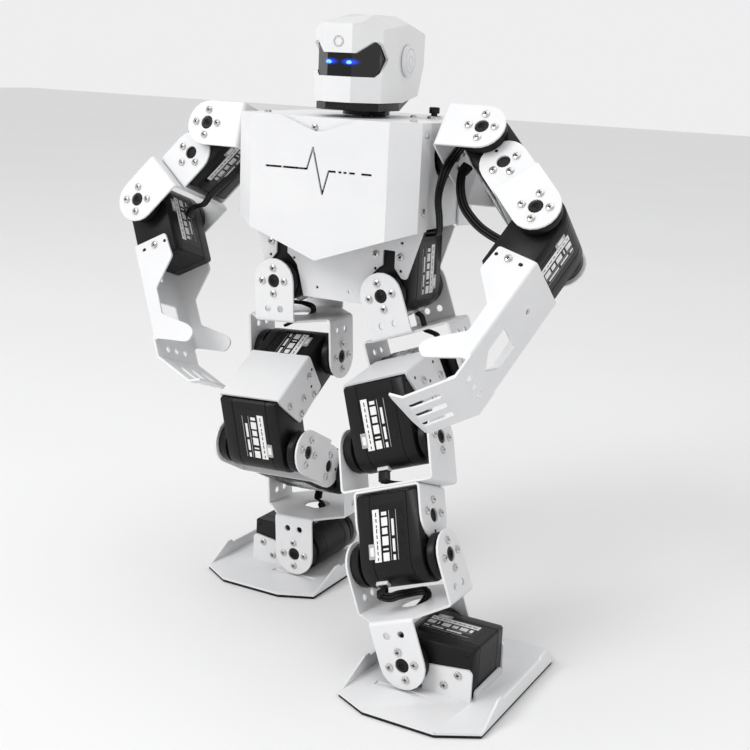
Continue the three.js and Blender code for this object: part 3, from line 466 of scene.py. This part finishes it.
def servo(name, faces, strip, plug=(-6.4, 6.4), back=False):
    body, M = SERVO[name]
    b = Build(name + "_detailed", body, [SERVO_BLACK, HORN_BLACK, LABEL, PRINT, PRINT_GREY, SOCKET, STEEL])
    rings = [[(x, p[0], p[1]) for p in inset(CASE, d)] for x, d in STATIONS]
    v, f = loft(rings)
    b.add(v, f, M)
    for s in (1, -1):
        S = M if s > 0 else M @ Ro("z", 180)
        # neck, boss, horn disc with its hub
        v, f = lathe([(0, 17.9), (7.2, 17.9), (7.2, 19.6), (7.0, 19.75), (10.9, 19.75), (11.35, 20.1), (11.35, 23.6), (11.0, 24.05), (0, 24.1)], 56)
        b.add(v, f, S)
        v, f = lathe([(0, 24.0), (10.1, 24.0), (10.4, 24.3), (10.4, 25.3), (10.15, 25.6), (3.45, 25.65), (3.45, 26.3), (3.1, 26.6), (2.0, 26.6), (1.85, 26.1), (0, 26.05)], 48)
        b.add(v, f, S, mat=1)
        # centre screw down in the hub
        v, f = SCREW
        b.add(v, f, S @ Tr(25.55, 0, 0) @ Ro("y", 90) @ Matrix.Scale(0.72, 4), mat=1)
        # case screws in the four corners of the end shell
        for y, z in ((9.4, 30.0), (-9.4, 30.0), (9.2, 4.5), (-9.2, 4.5)):
            v, f = SCREW
            b.add(v, f, S @ Tr(17.55, y, z) @ Ro("y", 90) @ Matrix.Scale(0.62, 4), mat=1)
    for fc in faces:  # label plate on the front (-1) or back (+1) face
        L = M if fc < 0 else M @ Ro("z", 180)
        s = strip if fc < 0 else -strip
        def bar(x0, x1, z0, z1, mat, y=-12.5, r=0.0):
            x0, x1 = sorted((s * x0, s * x1))
            v, f = slab(rect(x0, x1, z0, z1, r), y, -12.2, 0.03)
            b.add(v, f, L, mat=mat, smooth=False)
        bar(-9.3, 9.3, -1.4, 27.2, 2, -12.42, 0.8)
        bar(5.0, 8.9, -1.1, 25.0, 3, -12.47)
        for i, (z0, z1) in enumerate(((-0.9, 3.2), (4.4, 5.3), (6.8, 11.2), (12.3, 15.4), (16.4, 20.6), (21.6, 23.4))):
            bar(0.4 + 0.25 * (i % 2), 3.9 - 0.2 * (i % 2), z0, z1, 3, -12.47)
        bar(-0.9, -0.6, -0.9, 23.8, 4, -12.46)
        for z0, z1 in ((-0.8, 1.8), (3.3, 9.6), (11.2, 19.4)):
            bar(-3.3, -1.9, z0, z1, 3, -12.46)
        bar(-4.9, -4.6, -0.9, 23.8, 4, -12.46)
        for i in range(9):
            bar(6.6, 7.2, -0.3 + 2.7 * i, 1.1 + 2.7 * i + 0.4 * (i % 3), 2, -12.5)
        # small square beside the strip
        bar(8.5, 12.2, 0.6, 8.2, 4, -12.49, 0.3)
        bar(9.3, 11.4, 2.2, 6.4, 3, -12.52, 0.3)
    for x in plug:
        v, f = slab(rect(x - 3.4, x + 3.4, -1.9, 1.9, 0.5), -1.75, 1.0, 0.2)
        b.add(v, f, M @ Ro("x", 62) @ Tr(0, -12.2, 0), mat=5)
        v, f = slab(rect(x - 2.6, x + 2.6, -1.2, 1.2, 0.3), -1.95, -1.2, 0.1)
        b.add(v, f, M @ Ro("x", 62) @ Tr(0, -12.2, 0), mat=1)
    ob = b.done()
    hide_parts(name)
    return ob


for side, k in (("left", 1), ("right", -1)):
    st = -1 if side == "left" else 1
    servo(side + "_hip_roll_servo", [-1 if k > 0 else 1], 1)
    servo(side + "_shoulder_pitch_servo", [1], 1)
    servo(side + "_shoulder_roll_servo", [-1, 1], -1 if k > 0 else 1, plug=())
    servo(side + "_elbow_servo", [-1, 1], 1, plug=())
    servo(side + "_hip_pitch_servo", [-1], -st, plug=())
    servo(side + "_knee_servo", [-1], st, plug=(-5.4,) if k > 0 else ())
    servo(side + "_ankle_pitch_servo", [-1], st, plug=(-9.0,) if k > 0 else (-3.0,))
    servo(side + "_ankle_roll_servo", [1, -1], 1, plug=())


# ------------------------------------------------------------------ fasteners
def horn_screws(body, M, axis, z0, turn=0.0, sides=(1, -1), at=27.0):
    for s in sides:
        for i in range(4):
            t = math.radians(turn + 90 * i)
            u, w = 7 * math.cos(t), 7 * math.sin(t)
            p = (u, s * at, z0 + w) if axis == "y" else (s * at, u, z0 + w)
            n = (0, s, 0) if axis == "y" else (s, 0, 0)
            screw(body, M, p, n, 31 * i + 17 * s)


def case_screws(body, M, axis, z0, toward):
    """three screws and one empty hole round the case mounting hole; toward is the side of the empty hole."""
    for s in (1, -1):
        n = (0, s, 0) if axis == "y" else (s, 0, 0)
        place = lambda u, w: (u, s * 19.35, z0 + w) if axis == "y" else (s * 19.35, u, z0 + w)
        for i, (u, w) in enumerate(((6.6, -1.6 * toward), (-6.6, -1.6 * toward), (0, -7.6 * toward))):
            screw(body, M, place(u, w), n, 40 * i + 11)
        dot(body, M, place(0, 7.9 * toward), n)


for side, k in (("left", 1), ("right", -1)):
    a = POSE[side]
    hip, thigh, shin, ankle, foot = (F[side + "_" + n] for n in ("hip", "thigh", "shin", "ankle", "foot"))
    sh, ua, fa = (F[side + "_" + n] for n in ("shoulder", "upper_arm", "forearm"))
    horn_screws(side + "_hip", hip, "y", 0)
    horn_screws(side + "_hip", hip, "x", -44.4)
    horn_screws(side + "_shin", shin, "x", 0)
    case_screws(side + "_shin", shin, "x", -38.4, -1)
    horn_screws(side + "_ankle", ankle, "x", 0)
    horn_screws(side + "_ankle", ankle, "y", -44.4)
    horn_screws(side + "_shoulder", sh, "y", 0, 0)
    for i in range(4):
        t = math.radians(45 + 90 * i)
        screw(side + "_shoulder", sh, (-k * 21.6, 7 * math.cos(t), 7 * math.sin(t)), (k, 0, 0), 25 * i)
    case_screws(side + "_upper_arm", ua, "y", -20, 1)
    horn_screws(side + "_upper_arm", ua, "y", -59.4, 45)
    # hand
    for s in (1, -1):
        screw(side + "_forearm", fa, (0, s * 19.35, -26.3), (0, s, 0), 20)
        for x in (-7, 7):
            dot(side + "_forearm", fa, (k * x, s * 19.35, -26.5), (0, s, 0), 0.95)
    # thigh, outer and inner side of the cover
    outer = [(-3.9, -40.1), (-0.3, -22.1), (6, -36.4)]
    inner = [(-4.9, -24), (2.2, -34.2), (7.4, -25.0), (-3.5, -47.4), (8.0, -40.2)]
    dots_o = [(-1.4, -34), (6.9, -24.8), (-8, -47.7), (-8.7, -24.9)]
    dots_i = [(1.8, -24.9), (-6.1, -19.6)]
    for y, z in outer:
        screw(side + "_thigh", thigh, (k * 19.35, y, z), (k, 0, 0), 33)
    for y, z in inner:
        screw(side + "_thigh", thigh, (-k * 19.35, y, z), (-k, 0, 0), 12)
    for y, z in dots_o:
        dot(side + "_thigh", thigh, (k * 19.35, y, z), (k, 0, 0))
    for y, z in dots_i:
        dot(side + "_thigh", thigh, (-k * 19.35, y, z), (-k, 0, 0))
    # foot lugs
    for s in (1, -1):
        for x, z in ((26.3, -0.6), (19.3, -7.5)):
            screw(side + "_foot", foot, (k * x, s * 19.35, z), (0, s, 0), 18)
    # pelvis and body
    for s in (1, -1):
        for x in (40, 25.3):
            screw("torso", TOR, (k * x, s * 19.35, 20.5), (0, s, 0), 30)
        screw("torso", TOR, (k * 45.5, s * 19.35, 46), (0, s, 0), 10)
    for z in (84.1, 45.3):
        screw("torso", TOR, (k * 54.3, -25, z), (k, 0, 0), 24)
        screw("torso", TOR, (k * 54.3, 24, z if z > 60 else 46.5), (k, 0, 0), 51)
    for x in (18, 44):
        screw("torso", TOR, (k * x, 30 if x < 40 else -20, 89.6), (0, 0, 1), 37)
screw("torso", TOR, (-3.0, -38.1, 84.6), (0, -1, 0), 20, 0.9)
for s in (1, -1):
    screw("head", HEAD, (s * 12.0, 34.2, 128.0), (0, 1, 0.02), 20, 0.9)

for body, many in SCREWS.items():
    b = Build("screws_" + body, body, [STEEL, PAINTED_SHADE])
    for X in many:
        # each steel head carries painted shade in its cross recess
        b.add(*SCREW, X, mat=SCREW_RECESS_SHADE)
    b.done(angle=50)
for body, b in DOTS.items():
    b.done()


# ------------------------------------------------------------------ leads
def spline(pts, n=10):
    P = [Vector(p) for p in pts]
    P = [2 * P[0] - P[1]] + P + [2 * P[-1] - P[-2]]
    out = []
    for i in range(1, len(P) - 2):
        p0, p1, p2, p3 = P[i - 1 : i + 3]
        for j in range(n):
            t = j / n
            out.append(0.5 * ((2 * p1) + (p2 - p0) * t + (2 * p0 - 5 * p1 + 4 * p2 - p3) * t * t + (3 * p1 - p0 - 3 * p2 + p3) * t ** 3))
    out.append(P[-2])
    return out


def ribbon(name, pts, M, side, wires=3, r=0.82, plug=(True, True), seg=12, flat=None):
    """flat lead: wires side by side along the spline, side is the wide direction at each end."""
    b = Build(name, None, [WIRE, BASE_BLACK])
    c = spline(pts)
    L = len(c)
    frames = []
    for i, p in enumerate(c):
        t = (c[min(i + 1, L - 1)] - c[max(i - 1, 0)]).normalized()
        s = t.cross(Vector(flat)) if flat else Vector(side[0]).lerp(Vector(side[1]), i / (L - 1))
        s = (s - t * s.dot(t)).normalized()
        frames.append((p, t, s, t.cross(s)))
    for w in range(wires):
        off = (w - (wires - 1) / 2) * r * 1.94
        rings = []
        for p, t, s, q in frames:
            o = p + s * off
            rings.append([tuple(o + s * (r * math.cos(2 * math.pi * j / seg)) + q * (r * math.sin(2 * math.pi * j / seg))) for j in range(seg)])
        v, f = loft(rings)
        b.add(v, f, M)
    for end, want in zip((0, -1), plug):
        if not want:
            continue
        p, t, s, q = frames[end]
        d = t if end == 0 else -t
        X = Matrix.Identity(4)
        for j, ax in enumerate((s, q, d)):
            for i in range(3):
                X[i][j] = ax[i]
        v, f = slab(rect(-2.9, 2.9, -1.35, 1.35, 0.35), -0.8, 4.2, 0.2, axis="z")
        b.add(v, f, M @ Matrix.Translation(p) @ X, mat=1)
    return b


def blended(b, node, start, end):
    ob = b.done(ride=False)
    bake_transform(ob)
    if node:
        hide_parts(node)
    return ob


SH = [(64.6, -1.5, 80.5), (63.6, -9.5, 75.0), (62.4, -16.2, 68.6), (61.2, -20.4, 60.0), (60.2, -20.2, 51.5), (59.0, -15.0, 41.5), (56.0, -9.0, 33.6), (48.4, -5.0, 31.4)]
blended(ribbon("left_shoulder_ribbon_lead", SH, TOR, ((0.1, -0.6, -0.5), (0, 1, 0)), plug=(True, False)), "left_shoulder_lead", TOR @ Vector(SH[4]), TOR @ Vector(SH[1]))
for side, k in (("left", 1), ("right", -1)):
    a = POSE[side]
    e = math.radians(k * a["el"])
    at = lambda x, y, z: (x * math.cos(e) + z * math.sin(e), y, -59.4 - x * math.sin(e) + z * math.cos(e))
    ua = F[side + "_upper_arm"]
    if k > 0:
        P = [(-14.4, 0, 5.5), (-18.6, 0, 3.5), (-23.6, 0, -5), (-26.6, 0, -15), (-26.6, 0, -25), (-24.8, 0, -35), at(-20.5, 0, -11.5), at(-14.6, 0, -8.5)]
    else:
        P = [(14.4, 0, 4), (17.2, 0, -2), (18.2, -1, -10), (17.6, -2, -20), (16.6, -2, -30), (17.0, -1, -38), at(19.4, 0, -5.5), at(14.6, 0, -9)]
    blended(ribbon(side + "_elbow_ribbon_lead", P, ua, ((0, 1, 0), (0, 1, 0)), flat=(0, 1, 0.0) if k > 0 else None), side + "_elbow_lead", ua @ Vector(P[4]), ua @ Vector(P[6]))
    bb = math.radians(a["pitch"] - a["knee"])
    shin = F[side + "_shin"]
    an = lambda x, y, z: (x, y * math.cos(bb) - z * math.sin(bb), -58.4 + y * math.sin(bb) + z * math.cos(bb))
    sv = lambda x, y, z: (x, y, -58.4 + z)
    if k > 0:
        P = [sv(-9.0, -7.4, -14.4), sv(-7.6, -9.4, -17.2), sv(-2.6, -10.4, -18.4), sv(2.6, -9.0, -17.4), an(6.0, 2.0, -17.4), an(4.6, 4.2, -21.5), an(1.0, 3.4, -25.0), an(-4.0, 1.0, -28.0)]
    else:
        P = [sv(-3.0, -7.6, -14.0), an(-0.4, 1.6, -18.2), an(1.4, 2.4, -21.0), an(1.0, 2.6, -24.2), an(-1.5, 1.2, -27.0), an(-5.5, 0, -28.4)]
    blended(ribbon(side + "_ankle_ribbon_lead", P, shin, ((0, 1, 0), (0, 1, 0)), plug=(k > 0, False), r=0.8, flat=(0, 1, 0) if k > 0 else (0, 1, 0.3)), side + "_ankle_lead", shin @ Vector(P[0]), shin @ Vector(an(2, 2, -21.0)))
    # hip: from the roll servo, down through the hole of the hip bracket, to the pitch servo
    hip = F[side + "_hip"]
    if k > 0:
        P = [(3.0, 1.0, -13.8), (5.0, 1.5, -16.4), (5.5, 1.0, -20.4), (6.5, -0.5, -23.8), (9.6, -2.0, -25.4), (12.4, -2.5, -27.0), (13.6, -2.5, -28.6)]
    else:
        P = [(-6.0, -4.5, -14.0), (-2.0, -4.0, -14.9), (3.0, -1.0, -15.8), (6.4, 2.5, -18.2), (6.0, 3.2, -21.6), (1.5, 1.5, -25.0), (-5.0, -0.5, -27.4), (-9.5, -2.0, -29.6)]
    b = ribbon(side + "_hip_ribbon_lead", P, hip, ((0, 1, 0), (0, 1, 0)), plug=(False, False), r=0.8)
    blended(b, None, hip @ Vector((0, 0, -13.2)), hip @ Vector((0, 0, -19)))
    # knee: short loop between the knee servo and the bracket base
    kx = -5.4 if k > 0 else 5.4
    bend = math.radians(71.4 - a["knee"])
    kn = lambda x, y, z: (x, y * math.cos(bend) - z * math.sin(bend), y * math.sin(bend) + z * math.cos(bend))
    if k < 0:
        continue  # that side's knee servo lead is hidden by the thigh cover
    P = [kn(kx, -6.9, -13.4), kn(kx, -7.6, -16.0), (kx * 0.9, -4.5, -18.6), (kx * 0.5, 1.5, -19.2), (0, 7.0, -18.9)]
    b = ribbon(side + "_knee_ribbon_lead", P, shin, ((1, 0, 0), (1, 0, 0)), plug=(True, False), r=0.8)
    ob = b.done(ride=False)
    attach(ob, side + "_shin")


# ------------------------------------------------------------------ head details
def ear(side, k):
    b = Build(side + "_ear_cap_turned", "head", [HELMET])
    v, f = lathe([(0, 0.0), (8.4, 0.0), (8.4, 0.9), (8.15, 1.3), (7.1, 1.75), (6.75, 1.72), (6.55, 1.35), (6.2, 1.35), (6.0, 1.75), (5.7, 2.0), (2.9, 2.1), (2.7, 1.85), (2.35, 1.85), (2.1, 2.1), (0, 2.1)], 72)
    b.add(v, f, HEAD @ Tr(k * 19.6, 7.4, 119.2) @ (Matrix.Identity(4) if k > 0 else Ro("z", 180)))
    ob = b.done(angle=38)
    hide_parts(side + "_ear_cap")


ear("left", 1)
ear("right", -1)
for side, k in (("left", 1), ("right", -1)):
    b = Build(side + "_eye_lamp", "head", [EYE])
    prof = [(1.5 * math.cos(t), 0.75 * math.sin(t)) for t in (0, 0.3, 0.6, 0.9, 1.2, 1.45, 1.5707)]
    v, f = lathe([(0, -0.3), (1.5, -0.3)] + [(r, x * 0.8) for r, x in prof], 32)
    b.add(v, f, HEAD @ Tr(k * 5.6, -36.75, 117.4) @ Ro("z", -90) @ Matrix.Diagonal((1, 1.0, 0.62, 1)))
    ob = b.done()
    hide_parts(side + "_eye")
# plain ring on the forehead, laid on the shell
hit = N["head_shell"].matrix_world.inverted() @ (HEAD @ Vector((0, -80, 127.6)) * MM)
way = (N["head_shell"].matrix_world.inverted().to_3x3() @ (HEAD.to_3x3() @ Vector((0, 1, 0)))).normalized()
ok, where, normal, _ = N["head_shell"].ray_cast(hit, way)
if ok:
    where = N["head_shell"].matrix_world @ where
    normal = (N["head_shell"].matrix_world.to_3x3() @ normal).normalized()
    q = Vector((1, 0, 0)).rotation_difference(normal).to_matrix().to_4x4()
    b = Build("forehead_ring", "head", [COLLAR])
    n = 48
    prof = [(2.05, -0.2), (2.85, -0.2), (2.85, 0.2), (2.7, 0.38), (2.2, 0.38), (2.05, 0.2)]
    rings = [[(x, r * math.cos(2 * math.pi * j / n), r * math.sin(2 * math.pi * j / n)) for j in range(n)] for r, x in prof]
    rings.append(rings[0])
    v, f = loft(rings[:-1], cap=False)
    m6 = (len(prof) - 1) * n
    f += [(m6 + j, m6 + (j + 1) % n, (j + 1) % n, j) for j in range(n)]
    b.add(v, f, Matrix.Translation(where / MM) @ q)
    b.done()
# the neck's ribbed sleeve
b = Build("neck_sleeve", "head", [WIRE])
v, f = lathe([(0, -1.6), (2.9, -1.6)] + [(2.9 if i % 2 else 2.45, -1.4 + 0.42 * i) for i in range(14)] + [(2.4, 4.6), (0, 4.6)], 32)
b.add(v, f, HEAD @ Tr(13.0, -15.5, 92.0) @ Matrix.Diagonal((1.15, 0.55, 0.55, 1)))
b.done()

# controller board dressing
b = Build("board_components", "torso", [BASE_BLACK, SOCKET, STEEL])
for x0, x1, z0, z1, d, mt in ((-34, -31, 44, 80, 2.2, 1), (-8, 4, 44, 50, 1.6, 0), (8, 12, 60, 66, 1.4, 0), (-16, -12, 60, 64, 1.8, 2), (20, 26, 58, 63, 1.6, 0), (32, 35.5, 44, 80, 2.4, 1)):
    v, f = slab(rect(x0, x1, z0, z1, 0.3), -31.0 - d, -30.95, 0.15)
    b.add(v, f, TOR, mat=mt)
b.done()

# power button with a dished cap
b = Build("power_button_dished", "power_button", [BASE_BLACK])
v, f = lathe([(0, -3.0), (1.75, -3.0), (1.75, -0.2), (2.6, -0.2), (2.85, 0.05), (2.9, 2.6), (2.65, 3.05), (2.2, 3.15), (1.4, 3.0), (0, 2.9)], 48)
b.add(v, f, TOR @ Tr(31.3, 28.6, 92.6) @ Ro("y", -90))
ob = b.done()
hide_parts("power_button_cap")
b = Build("button_collar_turned", "torso", [COLLAR])
n = 48
prof = [(2.95, -0.2), (4.15, -0.2), (4.15, 0.5), (3.9, 1.1), (3.45, 1.3), (2.95, 1.0)]
rings = [[(x, r * math.cos(2 * math.pi * j / n), r * math.sin(2 * math.pi * j / n)) for j in range(n)] for r, x in prof]
v, f = loft(rings, cap=False)
m6 = (len(prof) - 1) * n
f += [(m6 + j, m6 + (j + 1) % n, (j + 1) % n, j) for j in range(n)]
b.add(v, f, TOR @ Tr(31.3, 28.6, 89.8) @ Ro("y", -90))
ob = b.done()
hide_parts("button_collar")


# ------------------------------------------------------------------ carried-over CAD nodes
def finish_node(name, mat, width=0.22, angle=34):
    o = N[name]
    o.data.materials.clear()
    o.data.materials.append(mat)
    for p in o.data.polygons:
        p.material_index = 0
        p.use_smooth = True
    for at_name in ("custom_normal", "sharp_edge", "sharp_face"):
        at = o.data.attributes.get(at_name)
        if at:
            o.data.attributes.remove(at)
    w = o.modifiers.new("weld", "WELD")
    w.merge_threshold = 0.00002
    bv = o.modifiers.new("bevel", "BEVEL")
    bv.width = width * MM
    bv.segments = 2
    bv.limit_method = "ANGLE"
    bv.angle_limit = math.radians(angle)
    bv.use_clamp_overlap = True
    bv.harden_normals = False
    wn = o.modifiers.new("normals", "WEIGHTED_NORMAL")
    wn.mode = "FACE_AREA"
    wn.weight = 60
    wn.keep_sharp = True


for n in N:
    if N[n].hide_render:
        continue
    if n in ("head_shell",):
        finish_node(n, HELMET, 0.3, 20)
    elif n == "visor":
        finish_node(n, VISOR, 0.3, 30)
    elif n == "head_base":
        finish_node(n, BASE_BLACK, 0.4, 25)
    elif n.endswith("sole_pad"):
        finish_node(n, SOLE, 0.25)
    elif n == "controller_board":
        finish_node(n, PCB, 0.1)
    elif n == "battery_pack":
        finish_node(n, WRAP, 0.3)
    elif n == "head_servo":
        finish_node(n, SERVO_BLACK, 0.3)
    else:
        finish_node(n, WHITE, 0.2)


# ------------------------------------------------------------------ stage and light
def stage():
    me = bpy.data.meshes.new("floor")
    s = 6.0
    me.from_pydata([(-s, -s, 0), (s, -s, 0), (s, s, 0), (-s, s, 0)], [], [(0, 1, 2, 3)])
    o = bpy.data.objects.new("floor", me)
    SC.collection.objects.link(o)
    m, nt, b = material("floor_pale", (0.93, 0.93, 0.93), 0.6)
    v = coords(nt)
    nt.links.new(mix(nt, ramp(nt, noise(nt, v, 3, 2), 0.3, 0.7, 0, 1), (0.80, 0.80, 0.802), (0.815, 0.815, 0.815)), b.inputs["Base Color"])
    me.materials.append(m)


def area(name, loc, look, size, power, color=(1, 1, 1)):
    l = bpy.data.lights.new(name, "AREA")
    l.shape = "RECTANGLE"
    l.size, l.size_y = size
    l.energy = power
    l.color = color
    o = bpy.data.objects.new(name, l)
    o.location = loc
    o.rotation_euler = (Vector(look) - Vector(loc)).to_track_quat("-Z", "Y").to_euler()
    SC.collection.objects.link(o)


stage()
w = bpy.data.worlds.new("studio")
SC.world = w
w.use_nodes = True
wt = w.node_tree
tc = wt.nodes.new("ShaderNodeTexCoord")
sx = wt.nodes.new("ShaderNodeSeparateXYZ")
wt.links.new(tc.outputs["Generated"], sx.inputs[0])
wt.links.new(mix(wt, ramp(wt, sx.outputs["Z"], 0.16, 0.5, 0, 1), (0.86, 0.86, 0.865), (0.5, 0.5, 0.505)), wt.nodes["Background"].inputs["Color"])
wt.nodes["Background"].inputs["Strength"].default_value = 1.0
area("key", (-0.75, -1.35, 1.35), (0, 0, 0.15), (0.9, 0.9), 18)
area("fill", (1.6, -0.7, 0.5), (0, 0, 0.15), (0.8, 1.0), 1.5)
area("top", (0.1, 0.2, 1.7), (0, 0, 0.1), (1.2, 1.2), 1.5)
sun = bpy.data.lights.new("ceiling", "SUN")
sun.energy = 0.95
sun.angle = math.radians(70)
so = bpy.data.objects.new("ceiling", sun)
so.location = (0, 0, 2)
SC.collection.objects.link(so)
SC.view_settings.view_transform = "Standard"
SC.view_settings.exposure = 0.0
